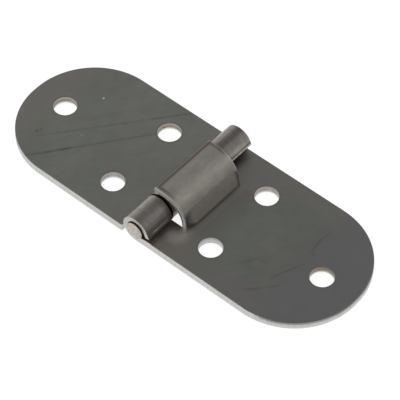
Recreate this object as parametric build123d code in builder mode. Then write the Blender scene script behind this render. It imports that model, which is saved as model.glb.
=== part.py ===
from build123d import *
import math
import os

# Butt hinge with a stop tongue, lying flat and open.
# X runs along the leaves (left leaf towards -X), Y along the pin, +Z up.
# Origin: under the pin's axis at the middle of its length, on the leaves' flat undersides.

# Sheet and width
SHEET = 2.0                    # sheet thickness
WIDTH = 38.0                   # leaf width, along the pin
END_FLAT = 1.0                 # short straight across the middle of each rounded end
EDGE_ROUND = 0.2               # rounding of the upper edge round each leaf's outline

# Leaf lengths from the pin's axis
LEFT_REACH = 50.0
RIGHT_REACH = 51.4

# Screw holes
HOLE_D = 6.0
PAIR_PITCH = 20.7              # distance between the two holes beside the knuckles
LEFT_PAIR_X = 15.0
LEFT_END_HOLE_X = 40.3
RIGHT_PAIR_X = 16.0
RIGHT_END_HOLE_X = 41.3

# Pin
PIN_D = 4.7
PIN_PROUD = 0.65               # how far the pin stands out of the knuckles at each end
PIN_CHAMFER = 0.25
PIN_FIT = 0.05                 # running clearance, on the radius, in the central knuckle
PIN_SEAT = 0.03                # gap at the side where the pin rests in the outer knuckles

# Knuckles
CURL_WALL = 1.4                # the sheet thins to this where it curls round the pin
CURL_R = PIN_D / 2 + PIN_FIT + CURL_WALL
LOOSE_BORE_D = 5.1             # the outer knuckles are curled wider than the pin
CENTRAL_LENGTH = 19.4
TAB_GAP = 0.3                  # from the central strip's sides to the tabs, in the plane of the leaf
CURL_SHRINK = 0.3              # the outer knuckles are this much shorter than their tabs
LEFT_CURL_END = 195.0          # where the central knuckle's curl stops, degrees from +X
RIGHT_CURL_END = 25.0          # where the outer knuckles' curl turns into a straight lip
NEAR_LIP = 2.0                 # straight lip of the knuckle on the -Y side
FAR_LIP = 1.2                  # the lip on the +Y side is sheared shorter
LEAF_GAP = 0.65                # from the left leaf's end faces to the outer knuckles

# Stop tongue
SLIT = 0.35                    # from the tongue's sides to the tabs
TONGUE_CLEAR = 0.4             # from the central knuckle up to the tongue
TONGUE_TOP_T = 1.8             # thickness over the pin
TONGUE_FOOT_T = 1.3            # thickness where it rises out of the leaf
TONGUE_FOOT_X = 7.8            # where its outer side meets the leaf's upper face
TONGUE_EDGE_X = 2.15           # free edge, measured to the left of the axis
TONGUE_BEND_X = 0.5            # where the flat top turns down
TONGUE_EDGE_ROUND = 1.0        # rounding of the free edge's upper corner
HEEL_X = 9.1                   # where the heel meets the leaf's upper face
HEEL_NEAR = 6.3                # the heel is full from here, on the -Y side,
HEEL_FAR = 8.2                 # to here, on the +Y side
HEEL_LEAST = 0.1               # how far it still stands out at the tongue's sides
HEEL_STEPS = 4                 # sections in each run-out of the heel

# Values that follow from those above
END_R = (WIDTH - END_FLAT) / 2
AXIS_Z = CURL_R
TAB_INNER = CENTRAL_LENGTH / 2 + TAB_GAP
TONGUE_HALF = TAB_INNER - SLIT
LEFT_FACE_X = CURL_R + LEAF_GAP
LOOSE_SHIFT = (LOOSE_BORE_D / 2 - PIN_D / 2 - PIN_SEAT) / math.sqrt(2)
TONGUE_UNDER_Z = AXIS_Z + CURL_R + TONGUE_CLEAR
TONGUE_TOP_Z = TONGUE_UNDER_Z + TONGUE_TOP_T


def polar(radius, angle, x=0.0, z=0.0):
    """Point at an angle, in degrees, on a circle about (x, z)."""
    turn = math.radians(angle)
    return (x + radius * math.cos(turn), z + radius * math.sin(turn))


def heel_section(reach, radius, centre_z):
    """Flank of the heel: it leaves the arch at a tangent and meets the leaf's upper face at reach."""
    across = reach - TONGUE_BEND_X
    down = SHEET - centre_z
    angle = math.degrees(math.atan2(down, across) + math.acos(radius / math.hypot(across, down)))
    start = polar(radius, angle, TONGUE_BEND_X, centre_z)
    return start, (reach, SHEET), (TONGUE_FOOT_X - TONGUE_FOOT_T / 2, SHEET)


def arch_radius(top_z, foot_x):
    """Radius of an arch, level at its top over TONGUE_BEND_X, that meets SHEET height at foot_x."""
    rise = top_z - SHEET
    run = foot_x - TONGUE_BEND_X
    return (rise**2 + run**2) / (2 * rise)


# Left leaf
# The plate, its narrower strip under the pin, and the strip's curl.
with BuildPart() as left_leaf:
    with BuildSketch():
        with Locations((-LEFT_FACE_X, 0)):
            Rectangle(LEFT_REACH - LEFT_FACE_X, WIDTH, align=(Align.MAX, Align.CENTER))
        fillet(vertices().group_by(Axis.X)[0], END_R)
    extrude(amount=SHEET)
    fillet(faces().sort_by(Axis.Z)[-1].edges().filter_by(GeomType.CIRCLE), EDGE_ROUND)
    with Locations(
        (-LEFT_PAIR_X, -PAIR_PITCH / 2, SHEET),
        (-LEFT_PAIR_X, PAIR_PITCH / 2, SHEET),
        (-LEFT_END_HOLE_X, 0, SHEET),
    ):
        Hole(HOLE_D / 2)
    bore_r = PIN_D / 2 + PIN_FIT
    with BuildSketch(Plane.XZ):
        with BuildLine():
            outer = CenterArc((0, AXIS_Z), CURL_R, -90, LEFT_CURL_END + 90)
            inner = CenterArc((0, AXIS_Z), bore_r, -90, LEFT_CURL_END + 90)
            Line(outer @ 0, inner @ 0)
            Line(outer @ 1, inner @ 1)
        make_face()
    extrude(amount=CENTRAL_LENGTH / 2, both=True)
    with BuildSketch(Plane.XZ):
        with Locations((0, 0)):
            Rectangle(LEFT_FACE_X, SHEET, align=(Align.MAX, Align.MIN))
        with Locations((0, AXIS_Z)):
            Circle(bore_r, mode=Mode.SUBTRACT)
    extrude(amount=CENTRAL_LENGTH / 2, both=True)

# Right leaf
# The plate with a gap for the central knuckle, the two curled tabs and the stop tongue.
with BuildPart() as right_leaf:
    with BuildSketch():
        Rectangle(RIGHT_REACH, WIDTH, align=(Align.MIN, Align.CENTER))
        fillet(vertices().group_by(Axis.X)[-1], END_R)
    extrude(amount=SHEET)
    fillet(faces().sort_by(Axis.Z)[-1].edges().filter_by(GeomType.CIRCLE), EDGE_ROUND)
    with Locations(
        (RIGHT_PAIR_X, -PAIR_PITCH / 2, SHEET),
        (RIGHT_PAIR_X, PAIR_PITCH / 2, SHEET),
        (RIGHT_END_HOLE_X, 0, SHEET),
    ):
        Hole(HOLE_D / 2)

    # Outer knuckles: each tab's curl and straight lip
    loose_r = LOOSE_BORE_D / 2
    loose_centre = (LOOSE_SHIFT, AXIS_Z + LOOSE_SHIFT)
    lip_turn = math.radians(RIGHT_CURL_END)
    lip_way = Vector(math.sin(lip_turn), -math.cos(lip_turn))
    for side, lip in ((1, NEAR_LIP), (-1, FAR_LIP)):
        with BuildSketch(Plane.XZ):
            with BuildLine():
                outer = CenterArc((0, AXIS_Z), CURL_R, -90, RIGHT_CURL_END - 270)
                inner = CenterArc(loose_centre, loose_r, -90, RIGHT_CURL_END - 270)
                outer_tip = (outer @ 1) + lip * lip_way
                Polyline(outer @ 1, outer_tip, (inner @ 1) + lip * lip_way, inner @ 1)
                Line(outer @ 0, inner @ 0)
            make_face()
        extrude(amount=side * WIDTH / 2)
    with BuildSketch(Plane.XZ):
        with Locations(loose_centre):
            Circle(loose_r)
    extrude(amount=WIDTH / 2, both=True, mode=Mode.SUBTRACT)

    # The middle is open for the central knuckle, from the curl to the tongue's foot
    for level, half in ((0, TAB_INNER), (SHEET, TAB_INNER + CURL_SHRINK)):
        with BuildSketch(Plane.XY.offset(level)):
            with Locations((TONGUE_FOOT_X, 0)):
                Rectangle(TONGUE_FOOT_X + CURL_R, 2 * half, align=(Align.MAX, Align.CENTER))
        extrude(amount=AXIS_Z + CURL_R, mode=Mode.SUBTRACT)

    # Stop tongue: it rises out of the leaf, arches over and ends level above the pin
    over_r = arch_radius(TONGUE_TOP_Z, TONGUE_FOOT_X)
    over_z = TONGUE_TOP_Z - over_r
    inner_foot_x = TONGUE_FOOT_X - TONGUE_FOOT_T
    under_r = arch_radius(TONGUE_UNDER_Z, inner_foot_x)
    under_z = TONGUE_UNDER_Z - under_r
    over_foot = math.degrees(math.asin((SHEET - over_z) / over_r))
    under_foot = math.degrees(math.asin((SHEET - under_z) / under_r))
    with BuildSketch(Plane.XZ) as section:
        with BuildLine():
            over = CenterArc((TONGUE_BEND_X, over_z), over_r, over_foot, 90 - over_foot)
            under = CenterArc((TONGUE_BEND_X, under_z), under_r, under_foot, 90 - under_foot)
            Line(over @ 1, (-TONGUE_EDGE_X, TONGUE_TOP_Z))
            Line((-TONGUE_EDGE_X, TONGUE_TOP_Z), (-TONGUE_EDGE_X, TONGUE_UNDER_Z))
            Line((-TONGUE_EDGE_X, TONGUE_UNDER_Z), under @ 1)
            Line(under @ 0, (inner_foot_x, TONGUE_FOOT_T))
            RadiusArc((inner_foot_x, TONGUE_FOOT_T), (TONGUE_FOOT_X, 0), TONGUE_FOOT_T)
            Line((TONGUE_FOOT_X, 0), over @ 0)
        make_face()
        corner = section.vertices().group_by(Axis.X)[0].sort_by(Axis.Y)[-1]
        fillet(corner, TONGUE_EDGE_ROUND)
    extrude(amount=TONGUE_HALF, both=True)

    # Heel of the tongue: full over most of its width, running out towards the sides
    stations = [(-HEEL_NEAR, HEEL_X), (HEEL_FAR, HEEL_X)]
    for step in range(1, HEEL_STEPS + 1):
        share = step / HEEL_STEPS
        reach = HEEL_X - (HEEL_X - TONGUE_FOOT_X - HEEL_LEAST) * share**1.6
        stations.insert(0, (-HEEL_NEAR - share * (TONGUE_HALF - HEEL_NEAR), reach))
        stations.append((HEEL_FAR + share * (TONGUE_HALF - HEEL_FAR), reach))
    for y, reach in stations:
        with BuildSketch(Plane.XZ.offset(-y)):
            with BuildLine():
                Polyline(*heel_section(reach, over_r, over_z), close=True)
            make_face()
    loft(ruled=True)

# Pin
with BuildPart() as hinge_pin:
    with BuildSketch(Plane.XZ):
        with Locations((0, AXIS_Z)):
            Circle(PIN_D / 2)
    extrude(amount=WIDTH / 2 + PIN_PROUD, both=True)
    chamfer(edges().filter_by(GeomType.CIRCLE), PIN_CHAMFER)

left_leaf.part.label = "left_leaf"
right_leaf.part.label = "right_leaf"
hinge_pin.part.label = "hinge_pin"

os.makedirs("parts", exist_ok=True)
export_step(left_leaf.part, "parts/left_leaf.step")
export_step(right_leaf.part, "parts/right_leaf.step")
export_step(hinge_pin.part, "parts/hinge_pin.step")
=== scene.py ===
import math
from collections import namedtuple

import bpy
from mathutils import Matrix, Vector

bl_info = {
    "name": "Butt Hinge Finish",
    "version": (1, 1, 0),
    "blender": (4, 5, 0),
    "location": "View3D > Sidebar > Hinge",
    "description": "Finishes a sheet-metal butt hinge with a stop tongue and sets up its studio view",
    "category": "Object",
}

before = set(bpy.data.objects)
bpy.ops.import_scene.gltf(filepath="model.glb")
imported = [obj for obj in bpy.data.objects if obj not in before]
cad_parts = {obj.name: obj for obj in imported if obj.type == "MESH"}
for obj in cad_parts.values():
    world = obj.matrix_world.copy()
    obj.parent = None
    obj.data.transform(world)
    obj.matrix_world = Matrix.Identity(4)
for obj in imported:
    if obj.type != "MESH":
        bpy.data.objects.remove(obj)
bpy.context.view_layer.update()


def srgb(red, green, blue):
    """A linear colour from three screen values of 0 to 255."""
    def linear(value):
        value = value / 255.0
        return value / 12.92 if value <= 0.04045 else ((value + 0.055) / 1.055) ** 2.4
    return (linear(red), linear(green), linear(blue))


# Where the finishes change, in millimetres from the frame's origin

MM = 1000.0                            # millimetres in a metre
SHEET = 2.0                            # top face of both leaves
AXIS_Z = 3.8                           # height of the pin's axis
CURLED_X = 4.2                         # the central knuckle lies within this of the axis
TONGUE_HALF = 9.65                     # half the tongue's width
TONGUE_FREE_X = -2.15                  # free edge of the tongue
TONGUE_BEND_X = 0.5                    # where its level top turns down
TONGUE_ARCH_R = 7.32                   # its outer arch
TONGUE_ARCH_Z = 2.48                   # and the height of that arch's centre
TONGUE_THICK = 1.8
TONGUE_LEVEL_Z = 7.9                   # the tongue's level part is all above this
HEEL_X = 9.1                           # where its heel ends on the leaf
HEEL_END_X = 7.92                      # the same at the tongue's two sides
HEEL_NEAR = 6.3                        # the heel runs out beyond this on the near side
HEEL_FAR = 8.2                         # and beyond this on the far side
HEEL_BOW = 1.6                         # power of the run-out's curve
KNUCKLE_IN = 10.1                      # where the outer knuckles begin
KNUCKLE_X = 5.0                        # and how far they reach along the leaf
LIP_X = 3.3                            # the outer knuckles' straight lips lie beyond this
NEAR_BURR_Z = 4.25                     # burr on the near lip
NEAR_BURR_Y = (-17.0, -12.3)
FAR_LIP_Z = 4.35                       # end of the far lip

# Screw holes of each leaf: centre, and how much reddish tarnish its wall keeps
HOLE_R = 3.0
LEFT_HOLES = ((-15.0, -10.35, 0.6), (-15.0, 10.35, 1.0), (-40.3, 0.0, 0.9))
RIGHT_HOLES = ((16.0, -10.35, 0.0), (16.0, 10.35, 0.6), (41.3, 0.0, 1.0))

# Faint roller marks: two ends, half width and strength
LEFT_MARKS = (
    ((-37.2, -18.8), (-29.6, -8.6), 0.30, 0.46),
    ((-31.0, -10.5), (-17.0, 8.2), 0.28, 0.20),
    ((-23.0, 0.2), (-17.6, 7.4), 0.32, 0.16),
    ((-39.0, -11.8), (-27.0, 3.4), 0.26, 0.14),
    ((-28.0, 2.1), (-14.9, 18.7), 0.30, 0.24),
    ((-31.0, -18.6), (-12.0, 5.5), 0.25, 0.04),
    ((-35.0, -1.6), (-28.4, 7.0), 0.70, 0.10),
)
RIGHT_MARKS = (
    ((30.0, -14.8), (35.6, -8.2), 0.22, 0.22),
    ((32.6, -7.6), (35.8, 0.6), 0.20, 0.30),
    ((34.7, 3.8), (34.3, 8.6), 0.26, 0.34),
    ((34.9, 4.2), (36.2, 3.6), 0.24, 0.34),
    ((33.9, 7.2), (34.8, 11.9), 0.18, 0.22),
    ((24.3, -9.6), (26.6, -4.9), 0.35, 0.14),
    ((26.6, -5.6), (28.9, -5.2), 0.30, 0.12),
    ((21.0, -16.5), (27.5, -8.0), 0.25, 0.05),
)

# Small specks of the left leaf: centre, radius and gain
SPECKS = (
    (-34.85, 8.15, 0.26, 3.2),
    (-40.1, -10.5, 0.4, 0.72),
    (-39.7, -9.5, 0.35, 0.76),
    (-30.8, -4.4, 0.3, 1.3),
)

# Right leaf beside the tongue's near foot: a rubbed patch, and painted light that brightens the sheet round
# it
SMEAR = ((7.5, -10.2), (9.3, -12.0))
NEAR_FOOT_LIGHT = (7.2, -12.0)
NEAR_FOOT_LIGHT_R = 5.2

# Painted light and shade round the outer knuckles, by which way the surface faces: from and to how far it
# faces right, and the gain at each
NEAR_KNUCKLE_PAINTED_LIGHT = ((-0.68, -0.4, 3.1, 1.35), (-0.4, 0.1, 0.0, -0.45), (0.3, 0.5, 0.0, 0.15),
                      (0.66, 0.8, 0.0, -0.4))
FAR_KNUCKLE_PAINTED_LIGHT = ((-0.9, -0.5, 3.1, 1.2), (-0.4, 0.05, 0.0, -0.45), (0.2, 0.45, 0.0, 0.33),
                     (0.75, 0.95, 0.0, 0.35))

# Small differences of tint
LEFT_TINTS = (srgb(109, 113, 107), srgb(114, 113, 108))
RIGHT_TINTS = (srgb(103, 107, 101), srgb(107, 103, 104))
LEFT_END_TINT = srgb(118, 113, 109)
KNUCKLE_SIDE_TINT = srgb(111, 108, 103)
NEAR_SIDE_TINT = srgb(114, 109, 104)
RIGHT_END_TINT = srgb(104, 103, 105)
# Burnished edges of the near lip's burr and of the far lip, brightened as painted highlights
BURR_HIGHLIGHT_TINT = srgb(178, 170, 158)
FAR_LIP_HIGHLIGHT_TINT = srgb(178, 166, 150)
SMEAR_TINT = srgb(150, 138, 132)
# Painted highlight at the slit's corner
CORNER_HIGHLIGHT_TINT = srgb(176, 157, 150)

# Studio, in metres and watts
FLOOR_REACH = 1.5
FLOOR_LEVEL = -0.0002                  # just under the leaves, so that their undersides stay clear of it
FLOOR_SHADE = 0.22                     # how much of its look comes from light, and so shows shadow
FLOOR_GLOW = 0.88                      # and how much is its own white
KEY_LAMP = ((-0.5, -0.6, 0.9), 0.5)    # place and size
BACK_LAMP = ((0.55, 0.5, 0.8), 0.6)
BACK_SHARE = 0.12                      # the back lamp's power as a share of the key lamp's
SENSOR_WIDTH = 36.0                    # millimetres


# Node helpers

def new_material(name):
    """An empty node material with a shader and an output."""
    material = bpy.data.materials.new(name)
    material.use_nodes = True
    tree = material.node_tree
    tree.nodes.clear()
    output = tree.nodes.new("ShaderNodeOutputMaterial")
    shader = tree.nodes.new("ShaderNodeBsdfPrincipled")
    tree.links.new(shader.outputs["BSDF"], output.inputs["Surface"])
    return material, tree, shader


def feed(tree, socket, value):
    """Links a node's output to a socket, or sets the socket to a number or a colour."""
    if isinstance(value, bpy.types.NodeSocket):
        tree.links.new(value, socket)
    elif isinstance(value, (int, float)):
        socket.default_value = value
    else:
        socket.default_value = tuple(value) + (1.0,) * (len(socket.default_value) - len(value))


def calc(tree, operation, a, b=0.0):
    """One step of arithmetic on sockets or numbers."""
    node = tree.nodes.new("ShaderNodeMath")
    node.operation = operation
    feed(tree, node.inputs[0], a)
    feed(tree, node.inputs[1], b)
    return node.outputs[0]


def chain(tree, operation, items):
    """The same step of arithmetic over a row of items."""
    result = items[0]
    for item in items[1:]:
        result = calc(tree, operation, result, item)
    return result


def product(tree, *factors):
    """All factors multiplied; masks that must all hold."""
    return chain(tree, "MULTIPLY", factors)


def total(tree, *terms):
    """All terms added."""
    return chain(tree, "ADD", terms)


def strongest(tree, *masks):
    """The highest of several masks."""
    return chain(tree, "MAXIMUM", masks)


def ramp(tree, value, low, high, out_low=0.0, out_high=1.0):
    """Eases from out_low to out_high as value goes from low to high."""
    node = tree.nodes.new("ShaderNodeMapRange")
    node.interpolation_type = "SMOOTHSTEP"
    for index, item in enumerate((value, low, high, out_low, out_high)):
        feed(tree, node.inputs[index], item)
    return node.outputs[0]


def blend(tree, mask, under, over):
    """A number that goes from under to over with a mask."""
    return ramp(tree, mask, 0.0, 1.0, under, over)


def above(tree, value, edge, soft=0.1):
    """1 above an edge, 0 below it."""
    return ramp(tree, value, edge - soft, edge + soft)


def below(tree, value, edge, soft=0.1):
    """1 below an edge, 0 above it."""
    return ramp(tree, value, edge - soft, edge + soft, 1.0, 0.0)


def between(tree, value, low, high, soft=0.1):
    """1 between two edges, 0 outside them."""
    return product(tree, above(tree, value, low, soft), below(tree, value, high, soft))


def paint(tree, mask, under, over):
    """Lays one colour over another where the mask is 1."""
    node = tree.nodes.new("ShaderNodeMix")
    node.data_type = "RGBA"
    feed(tree, node.inputs[0], mask)
    feed(tree, node.inputs[6], under)
    feed(tree, node.inputs[7], over)
    return node.outputs[2]


def dim(tree, colour, gain):
    """Scales a colour's brightness."""
    node = tree.nodes.new("ShaderNodeVectorMath")
    node.operation = "SCALE"
    feed(tree, node.inputs[0], colour)
    feed(tree, node.inputs["Scale"], gain)
    return node.outputs[0]


def shade(tree, colour, mask, gain):
    """Scales a colour's brightness by gain where the mask is 1."""
    return dim(tree, colour, blend(tree, mask, 1.0, gain))


def grain(tree, place, scale, stretch=(1.0, 1.0, 1.0), turn=0.0, detail=3.0):
    """Noise in millimetres, drawn out along one direction; 0 to 1 about its middle."""
    mapping = tree.nodes.new("ShaderNodeMapping")
    mapping.vector_type = "TEXTURE"
    mapping.inputs["Scale"].default_value = stretch
    mapping.inputs["Rotation"].default_value = (0.0, 0.0, turn)
    tree.links.new(place, mapping.inputs["Vector"])
    noise = tree.nodes.new("ShaderNodeTexNoise")
    noise.inputs["Scale"].default_value = scale
    noise.inputs["Detail"].default_value = detail
    tree.links.new(mapping.outputs[0], noise.inputs["Vector"])
    return ramp(tree, noise.outputs["Fac"], 0.3, 0.7)


def place_and_normal(tree):
    """Position in millimetres and facing, both in the piece's own frame."""
    coordinate = tree.nodes.new("ShaderNodeTexCoord")
    scaled = tree.nodes.new("ShaderNodeVectorMath")
    scaled.operation = "SCALE"
    scaled.inputs["Scale"].default_value = MM
    tree.links.new(coordinate.outputs["Object"], scaled.inputs[0])
    place = scaled.outputs[0]
    parts = []
    for source in (place, coordinate.outputs["Normal"]):
        split = tree.nodes.new("ShaderNodeSeparateXYZ")
        tree.links.new(source, split.inputs[0])
        parts.append(tuple(split.outputs))
    return place, parts[0], parts[1]


def bump(tree, shader, height, strength, distance):
    """Raises a surface's small relief from a height, distance in metres."""
    node = tree.nodes.new("ShaderNodeBump")
    node.inputs["Strength"].default_value = strength
    node.inputs["Distance"].default_value = distance
    tree.links.new(height, node.inputs["Height"])
    tree.links.new(node.outputs[0], shader.inputs["Normal"])


# Sizes and colours

class HingeFinish(bpy.types.PropertyGroup):
    """Finish of the rolled sheet, its cut edges and the pin"""
    left_colour: bpy.props.FloatVectorProperty(
        name="Left sheet", description="Colour of the left leaf's rolled faces", subtype="COLOR", size=3,
        min=0.0, max=1.0, default=srgb(112, 113, 107))
    right_colour: bpy.props.FloatVectorProperty(
        name="Right sheet", description="Colour of the right leaf's rolled faces", subtype="COLOR", size=3,
        min=0.0, max=1.0, default=srgb(105, 106, 100))
    tongue_colour: bpy.props.FloatVectorProperty(
        name="Tongue", description="Colour of the stop tongue, rubbed brighter where it is bent",
        subtype="COLOR", size=3, min=0.0, max=1.0, default=srgb(136, 132, 126))
    knuckle_colour: bpy.props.FloatVectorProperty(
        name="Knuckles", description="Colour of the knuckles' curled sheet", subtype="COLOR", size=3,
        min=0.0, max=1.0, default=srgb(111, 107, 103))
    edge_colour: bpy.props.FloatVectorProperty(
        name="Cut edges", description="Colour of the sheared edges", subtype="COLOR", size=3, min=0.0,
        max=1.0, default=srgb(199, 199, 196))
    tarnish_colour: bpy.props.FloatVectorProperty(
        name="Hole tarnish", description="Colour of the tarnished walls of the holes", subtype="COLOR",
        size=3, min=0.0, max=1.0, default=srgb(172, 160, 150))
    # Stain colour, also darkened into the painted shade of the heel crease
    stain_and_shade_colour: bpy.props.FloatVectorProperty(
        name="Stain", description="Colour of the brown stain at the bends", subtype="COLOR", size=3, min=0.0,
        max=1.0, default=srgb(96, 84, 73))
    pin_colour: bpy.props.FloatVectorProperty(
        name="Pin ends", description="Colour of the pin's sheared ends", subtype="COLOR", size=3, min=0.0,
        max=1.0, default=srgb(186, 180, 171))
    # The pin's side, darkened as painted shade
    pin_side_shade_colour: bpy.props.FloatVectorProperty(
        name="Pin side", description="Colour of the pin's dark drawn side", subtype="COLOR", size=3, min=0.0,
        max=1.0, default=srgb(66, 62, 57))
    metallic: bpy.props.FloatProperty(
        name="Metallic", description="How metallic the steel is", default=0.92, min=0.0, max=1.0,
        subtype="FACTOR")
    dry_metallic: bpy.props.FloatProperty(
        name="Tongue end metallic", description="How metallic the torn ends of the tongue are", default=0.25,
        min=0.0, max=1.0, subtype="FACTOR")
    roughness: bpy.props.FloatProperty(
        name="Roughness", description="Roughness of the rolled faces", default=0.36, min=0.0, max=1.0,
        subtype="FACTOR")
    edge_roughness: bpy.props.FloatProperty(
        name="Edge roughness", description="Roughness of the sheared edges", default=0.45, min=0.0, max=1.0,
        subtype="FACTOR")
    stain: bpy.props.FloatProperty(
        name="Stain strength", description="How strong the brown stain at the bends is", default=0.55,
        min=0.0, max=1.0, subtype="FACTOR")


class HingeStudio(bpy.types.PropertyGroup):
    """Camera, lamps and backdrop"""
    azimuth: bpy.props.FloatProperty(
        name="Azimuth", description="Camera direction round the hinge", default=math.radians(40.719),
        subtype="ANGLE")
    elevation: bpy.props.FloatProperty(
        name="Elevation", description="Camera height angle", default=math.radians(50.698), subtype="ANGLE")
    distance: bpy.props.FloatProperty(
        name="Distance", description="From the camera to the point it looks at", default=0.54632, min=0.05,
        unit="LENGTH")
    aim: bpy.props.FloatVectorProperty(
        name="Aim", description="Point that the camera looks at", default=(0.003566, 0.000235, 0.0),
        subtype="TRANSLATION")
    lens: bpy.props.FloatProperty(
        name="Lens", description="Focal length in millimetres on a 36 mm sensor", default=204.36, min=10.0)
    horizon_light: bpy.props.FloatProperty(
        name="Horizon light", description="Brightness of the surround near the horizon", default=1.35,
        min=0.0)
    ceiling_light: bpy.props.FloatProperty(
        name="Ceiling light", description="Brightness of the surround overhead", default=0.62, min=0.0)
    lamp_power: bpy.props.FloatProperty(
        name="Lamp power", description="Power of the main lamp in watts", default=3.0, min=0.0)
    floor_tone: bpy.props.FloatProperty(
        name="Floor tone", description="Share of light that the floor gives back", default=0.8, min=0.0,
        max=1.0, subtype="FACTOR")


# Sheet metal

def from_point(tree, x, y, point_x, point_y):
    """Distance from a point, seen from above."""
    flat = tree.nodes.new("ShaderNodeCombineXYZ")
    feed(tree, flat.inputs[0], x)
    feed(tree, flat.inputs[1], y)
    away = tree.nodes.new("ShaderNodeVectorMath")
    away.operation = "DISTANCE"
    tree.links.new(flat.outputs[0], away.inputs[0])
    away.inputs[1].default_value = (point_x, point_y, 0.0)
    return away.outputs["Value"]


def roller_mark(tree, x, y, start, end, half_width, strength, broken):
    """A soft line from start to end, broken up by noise."""
    length = math.dist(start, end)
    along = ((end[0] - start[0]) / length, (end[1] - start[1]) / length)
    from_x = calc(tree, "SUBTRACT", x, start[0])
    from_y = calc(tree, "SUBTRACT", y, start[1])
    run = calc(tree, "ADD", product(tree, from_x, along[0]), product(tree, from_y, along[1]))
    off = calc(tree, "SUBTRACT", product(tree, from_y, along[0]), product(tree, from_x, along[1]))
    line = ramp(tree, calc(tree, "ABSOLUTE", off), 0.0, 2.0 * half_width, 1.0, 0.0)
    reach = between(tree, run, 0.0, length, min(1.5, 0.3 * length))
    return product(tree, line, reach, broken, strength)


def sheared_edges(tree, place, spot, settings, holes):
    """Bright sheared metal: smooth above, torn and duller in the middle; the foot of the hole walls is
    brightened as painted light from the white floor below.
    """
    x, y, z = spot
    streaks = grain(tree, place, 2.2, (1.0, 1.0, 8.0))
    blotch = grain(tree, place, 0.8, (1.0, 1.0, 0.6))
    torn = between(tree, z, 0.55, 1.35, 0.25)
    foot = below(tree, z, 0.35, 0.2)
    gain = blend(tree, streaks, 0.94, 1.04)
    bright = dim(tree, settings.edge_colour, calc(tree, "SUBTRACT", gain, product(tree, torn, 0.06)))
    dulled = product(tree, torn, blend(tree, blotch, 0.25, 0.5))
    tarnished = dim(tree, settings.tarnish_colour, calc(tree, "SUBTRACT", gain, dulled))
    # Painted light from the white floor at the foot of the hole walls
    tarnished = paint(tree, foot, tarnished, dim(tree, settings.edge_colour, 1.25))
    smooth = ramp(tree, z, 0.8, 1.9)
    colour = bright
    for hole_x, hole_y, tarnish in holes:
        inside = below(tree, from_point(tree, x, y, hole_x, hole_y), HOLE_R + 0.2, 0.1)
        wall = paint(tree, tarnish, shade(tree, bright, smooth, 0.6), tarnished)
        colour = paint(tree, inside, colour, wall)
    right_end = product(tree, above(tree, x, 37.0, 3.0), smooth)
    left_end = product(tree, below(tree, x, -40.0, 5.0), below(tree, y, -2.0, 6.0))
    return shade(tree, shade(tree, colour, right_end, 0.42), left_end, 0.62)


def rolled_face(tree, place, base, tints):
    """The rolled surface: slow clouds, fine grain along the sheet and faint patches of tint."""
    clouds = grain(tree, place, 0.07, detail=2.0)
    fine = grain(tree, place, 0.9, (3.0, 1.0, 1.0), math.radians(53.0), 4.0)
    mottle = grain(tree, place, 0.4, (1.0, 1.5, 1.0), 0.4, 4.0)
    gain = total(tree, blend(tree, clouds, 0.965, 1.035), blend(tree, fine, -0.018, 0.018),
                 blend(tree, mottle, -0.022, 0.022))
    colour = base
    for index, tint in enumerate(tints):
        patch = grain(tree, place, 0.055 + 0.02 * index, (1.0, 1.6, 1.0), 1.1 + index, 1.5)
        colour = paint(tree, ramp(tree, patch, 0.45, 1.0, 0.0, 0.8), colour, tint)
    return dim(tree, colour, gain), fine


def end_zones(tree, spot, settings, edge):
    """Ends of the curls and of the tongue: duller and warmer, with a torn band inside the tongue's edge.

    Returns the colour and the mask of the tongue's ends.
    """
    x, y, z = spot
    raised = above(tree, z, SHEET + 0.2, 0.2)
    warm = dim(tree, settings.pin_colour, 0.97)
    colour = paint(tree, product(tree, raised, 0.8), edge, warm)
    from_bend = calc(tree, "MAXIMUM", calc(tree, "SUBTRACT", x, TONGUE_BEND_X), 0.0)
    from_centre = calc(tree, "SUBTRACT", z, TONGUE_ARCH_Z)
    squares = calc(tree, "ADD", product(tree, from_bend, from_bend), product(tree, from_centre, from_centre))
    radius = calc(tree, "SQRT", squares)
    depth = calc(tree, "DIVIDE", calc(tree, "SUBTRACT", TONGUE_ARCH_R, radius), TONGUE_THICK)
    on_tongue = product(tree, below(tree, calc(tree, "ABSOLUTE", y), TONGUE_HALF + 0.1, 0.05), raised)
    torn = between(tree, depth, 0.52, 0.85, 0.08)
    darkening = calc(tree, "SUBTRACT", 1.0, ramp(tree, x, 1.5, 5.0, 0.62, 0.34))
    gain = calc(tree, "SUBTRACT", 1.05, product(tree, torn, darkening))
    inside = product(tree, gain, below(tree, depth, 1.1, 0.1), above(tree, depth, 0.1, 0.14))
    return paint(tree, on_tongue, colour, dim(tree, warm, inside)), on_tongue


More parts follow.
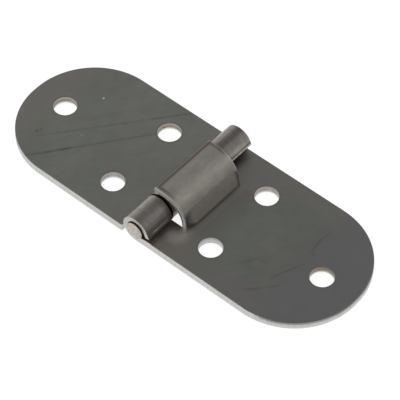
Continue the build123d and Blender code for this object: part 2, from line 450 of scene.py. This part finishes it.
def finish_sheet(name, settings, base, tints, holes, marks, bends):
    """A leaf's material; bends is the function that colours its bent parts and says where they are rubbed."""
    material, tree, shader = new_material(name)
    place, (x, y, z), normal = place_and_normal(tree)
    colour, fine = rolled_face(tree, place, base, tints)

    broken = ramp(tree, grain(tree, place, 0.25), 0.0, 0.7, 0.45, 1.0)
    lines = [roller_mark(tree, x, y, *mark, broken) for mark in marks]
    dark = product(tree, strongest(tree, *lines), between(tree, z, SHEET - 0.05, SHEET + 0.05, 0.03))
    colour = dim(tree, colour, calc(tree, "SUBTRACT", 1.0, dark))
    for hole_x, hole_y, _ in holes:
        halo = below(tree, from_point(tree, x, y, hole_x, hole_y), HOLE_R + 0.45, 0.4)
        colour = shade(tree, colour, product(tree, halo, broken), 0.84)

    colour, rubbed_and_sheen = bends(tree, place, (x, y, z), normal, settings, colour)

    # Cut edges: the outline and the holes up to the sheet's top, and the flat ends of the knuckles
    steep = below(tree, calc(tree, "ABSOLUTE", normal[2]), 0.6, 0.12)
    clear_of_curls = above(tree, calc(tree, "ABSOLUTE", x), AXIS_Z + 0.3, 0.1)
    outline = product(tree, steep, below(tree, z, SHEET - 0.02, 0.03), clear_of_curls)
    ends = above(tree, calc(tree, "ABSOLUTE", normal[1]), 0.8, 0.1)
    cut = strongest(tree, outline, ends)
    edge = sheared_edges(tree, place, (x, y, z), settings, holes)
    edge, on_tongue = end_zones(tree, (x, y, z), settings, edge)
    tree.links.new(paint(tree, cut, colour, edge), shader.inputs["Base Color"])

    dry = product(tree, on_tongue, ends)
    tree.links.new(blend(tree, dry, settings.metallic, settings.dry_metallic), shader.inputs["Metallic"])
    rough = blend(tree, fine, settings.roughness - 0.03, settings.roughness + 0.03)
    rough = calc(tree, "ADD", rough, product(tree, cut, settings.edge_roughness - settings.roughness))
    rough = calc(tree, "SUBTRACT", rough, product(tree, rubbed_and_sheen, 0.03))
    tree.links.new(rough, shader.inputs["Roughness"])
    bump(tree, shader, calc(tree, "SUBTRACT", fine, product(tree, dark, 2.0)), 0.05, 0.00005)
    return material


def left_bends(tree, place, spot, normal, settings, colour):
    """Left leaf: the central knuckle with a painted highlight on its left-facing side, a warm tint at the
    rounded end, and specks on the flat.
    """
    x, y, z = spot
    knuckle = product(tree, above(tree, z, SHEET + 0.12), below(tree, calc(tree, "ABSOLUTE", x), CURLED_X))
    drawn = blend(tree, grain(tree, place, 1.1, (4.0, 1.0, 4.0)), 0.93, 1.07)
    # Painted highlight: the knuckle is brighter where it faces left
    rubbed_and_sheen = ramp(tree, normal[0], -0.8, -0.2, 2.0, 1.0)
    tone = dim(tree, settings.knuckle_colour, product(tree, drawn, rubbed_and_sheen))
    colour = paint(tree, knuckle, colour, tone)
    colour = paint(tree, product(tree, below(tree, x, -43.0, 4.0), 0.6), colour, LEFT_END_TINT)
    flat = between(tree, z, SHEET - 0.05, SHEET + 0.05, 0.03)
    for speck_x, speck_y, radius, gain in SPECKS:
        round_speck = below(tree, from_point(tree, x, y, speck_x, speck_y), radius, radius * 0.6)
        colour = shade(tree, colour, product(tree, round_speck, flat), gain)
    return colour, 0.0


Zones = namedtuple("Zones", "side near raised blotch fine mottle")


def right_flat(tree, spot, colour, zones):
    """Warmer beside the knuckles and along the far side, cooler towards the rounded end; painted shade beside
    the tongue, and painted light past its heel, under the knuckles' lips and round the tongue's near foot.
    """
    x, y, z = spot
    upper = above(tree, z, SHEET - 0.3, 0.2)
    warm = strongest(tree, below(tree, x, 14.0, 4.0), above(tree, y, 13.5, 3.0))
    colour = paint(tree, product(tree, warm, 0.7), colour, KNUCKLE_SIDE_TINT)
    near_side = product(tree, below(tree, x, 13.0, 3.5), below(tree, y, -11.0, 2.0))
    colour = paint(tree, product(tree, near_side, 0.8), colour, NEAR_SIDE_TINT)
    colour = paint(tree, product(tree, above(tree, x, 34.0, 4.0), 0.7), colour, RIGHT_END_TINT)
    # Painted shade on the leaf beside the tongue, and painted light just past its heel
    by_the_heel = product(tree, below(tree, zones.side, 9.5, 2.0), upper)
    colour = shade(tree, colour, product(tree, below(tree, x, 15.0, 4.0), by_the_heel), 0.9)
    colour = shade(tree, colour, product(tree, between(tree, x, 9.2, 10.8, 0.5), by_the_heel), 1.1)
    # Painted light under the outer knuckles' lips, brightening the leaf against their shadow
    lit_under_lip = product(tree, below(tree, x, 4.7, 0.5), above(tree, zones.side, KNUCKLE_IN, 0.3), upper)
    colour = shade(tree, colour, lit_under_lip, blend(tree, zones.near, 1.15, 2.0))
    # Painted light round the tongue's near foot
    wavy = calc(tree, "ADD", y, blend(tree, zones.blotch, -0.5, 0.5))
    near_foot_light = ramp(tree, from_point(tree, x, wavy, *NEAR_FOOT_LIGHT), 0.0, NEAR_FOOT_LIGHT_R, 1.0, 0.0)
    return shade(tree, colour, product(tree, near_foot_light, upper), 1.75)


def outer_knuckles(tree, place, spot, normal, settings, colour, zones):
    """Painted highlight low on the left and painted shade on top, by which way each knuckle faces; browner at
    the lips, with a burr on the near one brightened as a painted highlight.
    """
    x, y, z = spot
    side, near, blotch = zones.side, zones.near, zones.blotch
    far = calc(tree, "SUBTRACT", 1.0, near)
    knuckle = product(tree, above(tree, side, KNUCKLE_IN - 0.2), zones.raised, below(tree, x, KNUCKLE_X))
    # Painted light and shade: each knuckle's brightness is set by which way it faces
    near_painted_light = total(tree, *(ramp(tree, normal[0], *stretch) for stretch in NEAR_KNUCKLE_PAINTED_LIGHT))
    far_painted_light = total(tree, *(ramp(tree, normal[0], *stretch) for stretch in FAR_KNUCKLE_PAINTED_LIGHT))
    gain = total(tree, product(tree, near, near_painted_light), product(tree, far, far_painted_light))
    drawn = blend(tree, grain(tree, place, 1.1, (4.0, 1.0, 4.0)), 0.93, 1.07)
    tone = dim(tree, settings.knuckle_colour, product(tree, gain, zones.mottle, drawn))
    colour = paint(tree, knuckle, colour, tone)

    lip = product(tree, knuckle, above(tree, x, LIP_X, 0.3))
    near_lip = product(tree, lip, near)
    stain = product(tree, near_lip, ramp(tree, blotch, 0.2, 0.8), settings.stain)
    inner_end = product(tree, knuckle, below(tree, side, KNUCKLE_IN + 1.5, 1.3), above(tree, x, 1.0, 1.5),
                        settings.stain)
    rust = product(tree, near_lip, below(tree, side, KNUCKLE_IN + 1.9, 0.6),
                   ramp(tree, zones.fine, 0.2, 0.7, 0.2, 0.75))
    colour = paint(tree, strongest(tree, stain, inner_end, rust), colour, settings.stain_and_shade_colour)
    # Burnished burr along the near lip, brightened as a painted highlight
    burr_highlight = product(tree, lip, between(tree, z, NEAR_BURR_Z - 0.13, NEAR_BURR_Z + 0.13, 0.08),
                   between(tree, y, *NEAR_BURR_Y, 0.7), ramp(tree, blotch, 0.1, 0.5, 0.4, 1.0))
    colour = paint(tree, product(tree, burr_highlight, 0.8), colour, BURR_HIGHLIGHT_TINT)
    colour = shade(tree, colour, product(tree, near_lip, below(tree, z, NEAR_BURR_Z - 0.2)), 0.8)

    # Far lip: a dark line above a bright one, the burnished edge brightened as a painted highlight
    far_lip = product(tree, lip, far)
    dark_line = product(tree, far_lip, between(tree, z, FAR_LIP_Z + 0.45, FAR_LIP_Z + 0.75, 0.12))
    bright_line = product(tree, far_lip, below(tree, z, FAR_LIP_Z + 0.35, 0.12),
                          ramp(tree, drawn, 0.93, 1.07, 0.3, 1.0))
    colour = shade(tree, colour, dark_line, 0.35)
    return paint(tree, product(tree, bright_line, 0.6), colour, FAR_LIP_HIGHLIGHT_TINT)


def stop_tongue(tree, spot, normal, settings, colour, zones):
    """Rubbed bright over its shoulder, with painted shade on the flank that faces right, darker along its
    free edge and sides, and a painted highlight along its side rims; returns colour and mask.
    """
    x, _, z = spot
    side = zones.side
    within = below(tree, side, TONGUE_HALF + 0.1, 0.05)
    tongue = product(tree, within, zones.raised, below(tree, x, HEEL_X + 0.3))
    # Painted shade on the flank that faces right
    flank = ramp(tree, normal[0], 0.52, 0.92)
    rub_and_flank_shade = dim(tree, settings.tongue_colour, product(tree, zones.mottle, blend(tree, flank, 1.0, 0.56)))
    colour = paint(tree, tongue, colour, rub_and_flank_shade)
    # Darker along the tongue's free edge and its sides
    free_edge = product(tree, below(tree, x, TONGUE_FREE_X + 1.35, 0.35), above(tree, z, TONGUE_LEVEL_Z, 0.2))
    side_edge = product(tree, above(tree, side, TONGUE_HALF - 0.9, 0.35), below(tree, x, 3.6, 1.0),
                        ramp(tree, zones.blotch, 0.0, 0.6, 0.45, 0.9))
    darker_edges = product(tree, tongue, strongest(tree, free_edge, side_edge), 0.85)
    colour = paint(tree, darker_edges, colour, dim(tree, settings.stain_and_shade_colour, 0.75))
    # Painted highlight along the tongue's side rims
    rim = product(tree, tongue, above(tree, side, TONGUE_HALF - 0.16, 0.06), above(tree, normal[2], 0.2))
    return paint(tree, product(tree, rim, 0.35), colour, settings.edge_colour), tongue


def heel_crease(tree, spot, settings, colour, zones):
    """Painted shade in the crease along the tongue's foot, nearer to the knuckles at both of its ends."""
    x, _, z = spot
    run_out = blend(tree, zones.near, HEEL_FAR, HEEL_NEAR)
    past = calc(tree, "SUBTRACT", zones.side, run_out)
    share = calc(tree, "DIVIDE", past, calc(tree, "SUBTRACT", TONGUE_HALF, run_out))
    share = calc(tree, "POWER", calc(tree, "MAXIMUM", share, 0.0), HEEL_BOW)
    from_foot = total(tree, x, product(tree, share, HEEL_X - HEEL_END_X), -HEEL_X)
    crease_shade = product(tree, between(tree, from_foot, -0.3, 0.05, 0.14), below(tree, z, 3.0, 0.2),
                     below(tree, zones.side, TONGUE_HALF - 0.6, 1.0), above(tree, z, SHEET - 0.2),
                     ramp(tree, zones.blotch, 0.0, 0.6, 0.6, 1.0))
    # Painted shade: the stain colour darkened along the crease
    return paint(tree, product(tree, crease_shade, 0.8), colour, dim(tree, settings.stain_and_shade_colour, 0.4))


def slit_corner(tree, spot, colour, zones):
    """Pink smear where the slit meets the tongue's near foot, and a painted highlight at that corner."""
    x, y, z = spot
    smear = roller_mark(tree, x, y, *SMEAR, 0.7, 0.6, ramp(tree, zones.blotch, 0.1, 0.6, 0.4, 1.0))
    # Painted highlight at the corner
    corner = below(tree, from_point(tree, x, y, *SMEAR[0]), 0.55, 0.35)
    on_top = product(tree, above(tree, z, SHEET - 0.1, 0.05), below(tree, z, SHEET + 0.3))
    colour = paint(tree, product(tree, smear, on_top), colour, SMEAR_TINT)
    return paint(tree, product(tree, corner, on_top, 0.5), colour, CORNER_HIGHLIGHT_TINT)


def right_bends(tree, place, spot, normal, settings, colour):
    """Right leaf: everything that differs round its knuckles and its stop tongue."""
    _, y, z = spot
    blotch = grain(tree, place, 0.35, (1.0, 1.6, 1.0), detail=4.0)
    fine = grain(tree, place, 1.4, (1.0, 3.0, 1.0), detail=4.0)
    zones = Zones(
        side=calc(tree, "ABSOLUTE", y),
        near=below(tree, y, 0.0, 1.0),
        raised=above(tree, z, SHEET + 0.12),
        blotch=blotch,
        fine=fine,
        mottle=calc(tree, "ADD", blend(tree, blotch, -0.05, 0.05), blend(tree, fine, 0.96, 1.04)),
    )
    colour = right_flat(tree, spot, colour, zones)
    colour = outer_knuckles(tree, place, spot, normal, settings, colour, zones)
    colour, tongue = stop_tongue(tree, spot, normal, settings, colour, zones)
    colour = heel_crease(tree, spot, settings, colour, zones)
    return slit_corner(tree, spot, colour, zones), tongue


def dress(node, material):
    """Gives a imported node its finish."""
    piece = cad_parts[node]
    piece.data.materials.clear()
    piece.data.materials.append(material)


class FinishLeftLeaf(bpy.types.Operator):
    """Give the left leaf its rolled faces, roller marks and sheared edges"""
    bl_idname = "hinge.finish_left_leaf"
    bl_label = "Finish Left Leaf"
    bl_options = {"REGISTER", "UNDO"}

    def execute(self, context):
        settings = context.scene.hinge_finish
        dress("left_leaf", finish_sheet("left_leaf_sheet", settings, settings.left_colour, LEFT_TINTS,
                                        LEFT_HOLES, LEFT_MARKS, left_bends))
        return {"FINISHED"}


class FinishRightLeaf(bpy.types.Operator):
    """Give the right leaf its rolled faces, rubbed tongue, stained bends and sheared edges"""
    bl_idname = "hinge.finish_right_leaf"
    bl_label = "Finish Right Leaf"
    bl_options = {"REGISTER", "UNDO"}

    def execute(self, context):
        settings = context.scene.hinge_finish
        dress("right_leaf", finish_sheet("right_leaf_sheet", settings, settings.right_colour, RIGHT_TINTS,
                                         RIGHT_HOLES, RIGHT_MARKS, right_bends))
        return {"FINISHED"}


class FinishPin(bpy.types.Operator):
    """Give the pin its side, darkened as painted shade, and its bright sheared ends"""
    bl_idname = "hinge.finish_pin"
    bl_label = "Finish Pin"
    bl_options = {"REGISTER", "UNDO"}

    def execute(self, context):
        settings = context.scene.hinge_finish
        material, tree, shader = new_material("pin_bar")
        place, _, normal = place_and_normal(tree)
        drawn = grain(tree, place, 2.5, (1.0, 12.0, 1.0), detail=4.0)
        mottle = grain(tree, place, 1.5, detail=4.0)
        # Painted shade: the pin's side is darkened, as it lies in the bore's shade
        side = dim(tree, settings.pin_side_shade_colour, blend(tree, drawn, 0.85, 1.15))
        end = dim(tree, settings.pin_colour, blend(tree, mottle, 0.8, 1.14))
        facing = above(tree, calc(tree, "ABSOLUTE", normal[1]), 0.6, 0.15)
        tree.links.new(paint(tree, facing, side, end), shader.inputs["Base Color"])
        shader.inputs["Metallic"].default_value = settings.metallic
        tree.links.new(blend(tree, mottle, 0.42, 0.52), shader.inputs["Roughness"])
        bump(tree, shader, mottle, 0.15, 0.00005)
        dress("hinge_pin", material)
        return {"FINISHED"}


# Studio

def add_lamp(name, place, size, power):
    """A square soft lamp that faces the hinge."""
    data = bpy.data.lights.new(name, "AREA")
    data.shape = "SQUARE"
    data.size = size
    data.energy = power
    lamp = bpy.data.objects.new(name, data)
    lamp.location = place
    lamp.rotation_euler = (-Vector(place)).to_track_quat("-Z", "Y").to_euler()
    bpy.context.scene.collection.objects.link(lamp)


def add_floor(studio):
    """A pale floor: white to the eye and to reflections, shaded under the hinge, and clear from below."""
    mesh = bpy.data.meshes.new("studio_floor")
    signs = ((-1, -1), (1, -1), (1, 1), (-1, 1))
    corners = [(x * FLOOR_REACH, y * FLOOR_REACH, FLOOR_LEVEL) for x, y in signs]
    mesh.from_pydata(corners, [], [(0, 1, 2, 3)])
    floor = bpy.data.objects.new("studio_floor", mesh)
    bpy.context.scene.collection.objects.link(floor)
    material, tree, shader = new_material("studio_floor")
    output = next(n for n in tree.nodes if n.type == "OUTPUT_MATERIAL")
    shader.inputs["Base Color"].default_value = (studio.floor_tone,) * 3 + (1.0,)
    shader.inputs["Roughness"].default_value = 0.9
    seen = tree.nodes.new("ShaderNodeBsdfDiffuse")
    seen.inputs["Color"].default_value = (FLOOR_SHADE,) * 3 + (1.0,)
    glow = tree.nodes.new("ShaderNodeEmission")
    glow.inputs["Strength"].default_value = FLOOR_GLOW
    white = tree.nodes.new("ShaderNodeAddShader")
    tree.links.new(seen.outputs[0], white.inputs[0])
    tree.links.new(glow.outputs[0], white.inputs[1])
    path = tree.nodes.new("ShaderNodeLightPath")
    to_eye = strongest(tree, path.outputs["Is Camera Ray"], path.outputs["Is Glossy Ray"],
                       path.outputs["Is Transmission Ray"])
    mix = tree.nodes.new("ShaderNodeMixShader")
    tree.links.new(to_eye, mix.inputs[0])
    tree.links.new(shader.outputs[0], mix.inputs[1])
    tree.links.new(white.outputs[0], mix.inputs[2])
    through = tree.nodes.new("ShaderNodeBsdfTransparent")
    facing = tree.nodes.new("ShaderNodeNewGeometry")
    one_way = tree.nodes.new("ShaderNodeMixShader")
    tree.links.new(facing.outputs["Backfacing"], one_way.inputs[0])
    tree.links.new(mix.outputs[0], one_way.inputs[1])
    tree.links.new(through.outputs[0], one_way.inputs[2])
    tree.links.new(one_way.outputs[0], output.inputs["Surface"])
    mesh.materials.append(material)


def add_surround(studio):
    """A light tent: bright near the horizon, darker overhead, white to the eye."""
    world = bpy.data.worlds.new("studio")
    world.use_nodes = True
    bpy.context.scene.world = world
    tree = world.node_tree
    background = tree.nodes["Background"]
    background.inputs["Color"].default_value = (1.0, 1.0, 1.0, 1.0)
    coordinate = tree.nodes.new("ShaderNodeTexCoord")
    split = tree.nodes.new("ShaderNodeSeparateXYZ")
    tree.links.new(coordinate.outputs["Generated"], split.inputs[0])
    tent = ramp(tree, split.outputs[2], 0.0, 0.8, studio.horizon_light, studio.ceiling_light)
    path = tree.nodes.new("ShaderNodeLightPath")
    mix = tree.nodes.new("ShaderNodeMix")
    tree.links.new(path.outputs["Is Camera Ray"], mix.inputs[0])
    tree.links.new(tent, mix.inputs[2])
    mix.inputs[3].default_value = 1.0
    tree.links.new(mix.outputs[0], background.inputs["Strength"])


def add_camera(studio):
    """The camera, aimed at the hinge from its azimuth and elevation."""
    aim = Vector(studio.aim)
    away = Vector((
        math.sin(studio.azimuth) * math.cos(studio.elevation),
        -math.cos(studio.azimuth) * math.cos(studio.elevation),
        math.sin(studio.elevation)))
    data = bpy.data.cameras.new("studio_camera")
    data.lens = studio.lens
    data.sensor_width = SENSOR_WIDTH
    data.clip_start = 0.01
    camera = bpy.data.objects.new("studio_camera", data)
    camera.location = aim + away * studio.distance
    camera.rotation_euler = (-away).to_track_quat("-Z", "Y").to_euler()
    bpy.context.scene.collection.objects.link(camera)
    bpy.context.scene.camera = camera


class BuildStudio(bpy.types.Operator):
    """Set up the floor, surround, lamps and camera"""
    bl_idname = "hinge.build_studio"
    bl_label = "Build Studio"
    bl_options = {"REGISTER", "UNDO"}

    def execute(self, context):
        studio = context.scene.hinge_studio
        context.scene.view_settings.view_transform = "Standard"
        add_floor(studio)
        add_surround(studio)
        add_lamp("key_lamp", *KEY_LAMP, studio.lamp_power)
        add_lamp("back_lamp", *BACK_LAMP, studio.lamp_power * BACK_SHARE)
        add_camera(studio)
        return {"FINISHED"}


class HingePanel(bpy.types.Panel):
    """Hinge finish and studio in the sidebar"""
    bl_idname = "VIEW3D_PT_hinge_finish"
    bl_label = "Hinge"
    bl_space_type = "VIEW_3D"
    bl_region_type = "UI"
    bl_category = "Hinge"

    def draw(self, context):
        layout = self.layout
        for group in (context.scene.hinge_finish, context.scene.hinge_studio):
            box = layout.box()
            for name in group.__annotations__:
                box.prop(group, name)
        for operator in (FinishLeftLeaf, FinishRightLeaf, FinishPin, BuildStudio):
            layout.operator(operator.bl_idname)


CLASSES = (HingeFinish, HingeStudio, FinishLeftLeaf, FinishRightLeaf, FinishPin, BuildStudio, HingePanel)


def register():
    for item in CLASSES:
        bpy.utils.register_class(item)
    bpy.types.Scene.hinge_finish = bpy.props.PointerProperty(type=HingeFinish)
    bpy.types.Scene.hinge_studio = bpy.props.PointerProperty(type=HingeStudio)


def unregister():
    del bpy.types.Scene.hinge_studio
    del bpy.types.Scene.hinge_finish
    for item in reversed(CLASSES):
        bpy.utils.unregister_class(item)


def main():
    register()
    bpy.ops.hinge.finish_left_leaf()
    bpy.ops.hinge.finish_right_leaf()
    bpy.ops.hinge.finish_pin()
    bpy.ops.hinge.build_studio()


if __name__ == "__main__":
    main()
